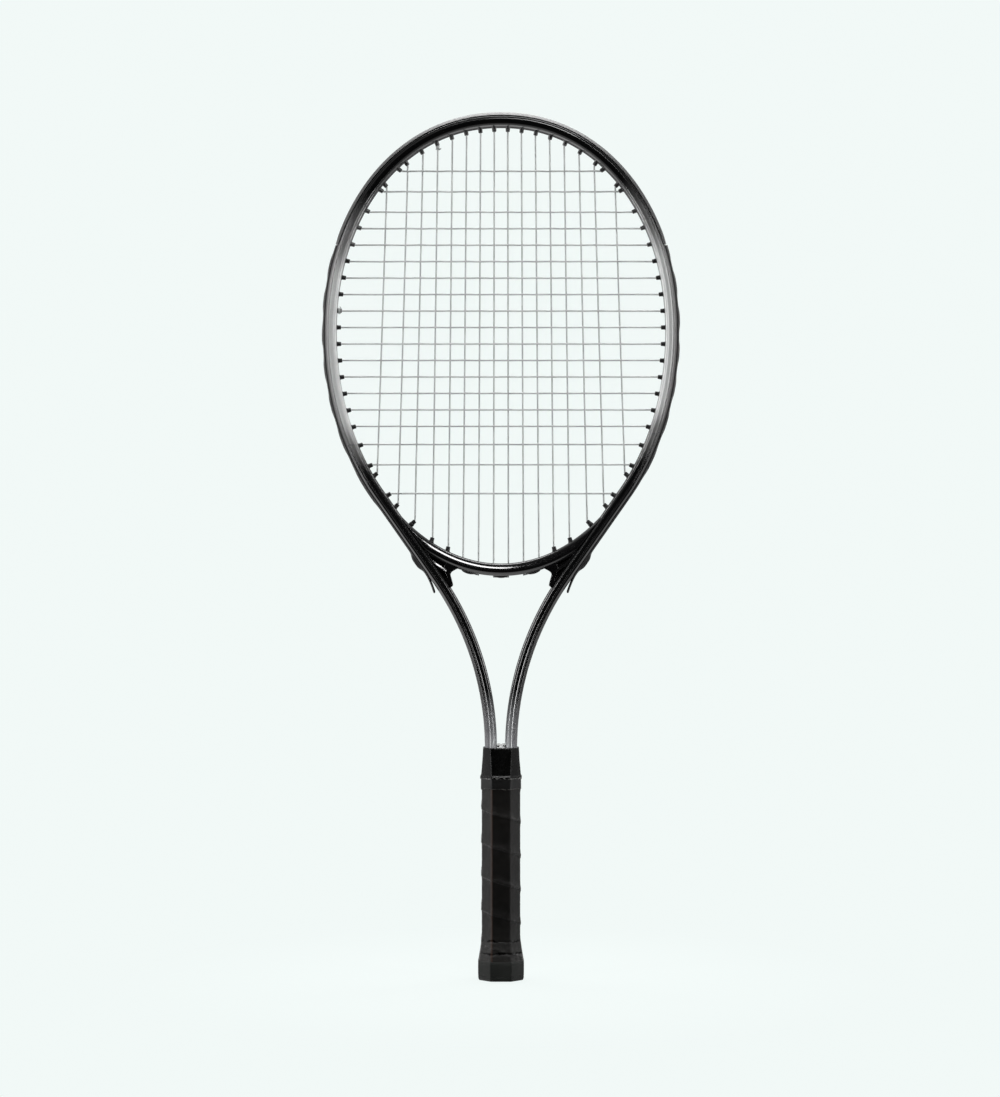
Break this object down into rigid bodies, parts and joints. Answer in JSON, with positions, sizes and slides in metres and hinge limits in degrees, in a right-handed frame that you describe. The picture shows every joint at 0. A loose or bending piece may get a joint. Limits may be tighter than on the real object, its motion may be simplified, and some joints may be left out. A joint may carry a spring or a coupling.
{
  "type": "tennis racket",
  "caption": "Full-size tennis racket with an aluminium tube frame, moulded throat bridge, grommet strips, woven strings and a wrapped octagonal grip.",
  "frame": {"origin": "middle of the butt's flat end", "axes": "+Z along the racket from the butt to the top of the head, +X across the head, +Y from the front hitting face to the back"},
  "size_m": [0.2826, 0.0338, 0.6858],
  "materials": {
    "frame_paint": "gloss paint, black at the top and throat fading to silver at the sides and shaft feet",
    "bridge_plastic": "gloss black moulded plastic",
    "strip_plastic": "semi-gloss black nylon",
    "string": "light grey nylon string",
    "steel": "plain steel",
    "spacer": "clear to pale plastic",
    "collar_rubber": "gloss black rubber",
    "pallet": "moulded foam plastic",
    "grip": "dark charcoal brown synthetic leather, semi-gloss",
    "band": "black vinyl tape",
    "butt": "matte black moulded plastic"
  },
  "bodies": {
    "root": {"frame_tube": "frame_paint", "throat_bridge": "bridge_plastic", "bridge_grommet_1": "strip_plastic", "bridge_grommet_2": "strip_plastic", "bridge_grommet_3": "strip_plastic", "bridge_grommet_4": "strip_plastic", "bridge_screw_left": "steel", "bridge_screw_right": "steel", "head_bumper_guard": "strip_plastic", "left_grommet_strip": "strip_plastic", "right_grommet_strip": "strip_plastic", "main_string": "string", "cross_string": "string", "shaft_spacer": "spacer", "collar": "collar_rubber", "handle_shell_front": "pallet", "handle_shell_back": "pallet", "handle_pin_upper": "steel", "handle_pin_lower": "steel", "grip_tape": "grip", "grip_finishing_band": "band", "butt_cap": "butt", "butt_badge": "butt", "butt_tack_front": "steel", "butt_tack_back": "steel"}
  },
  "joints": []
}
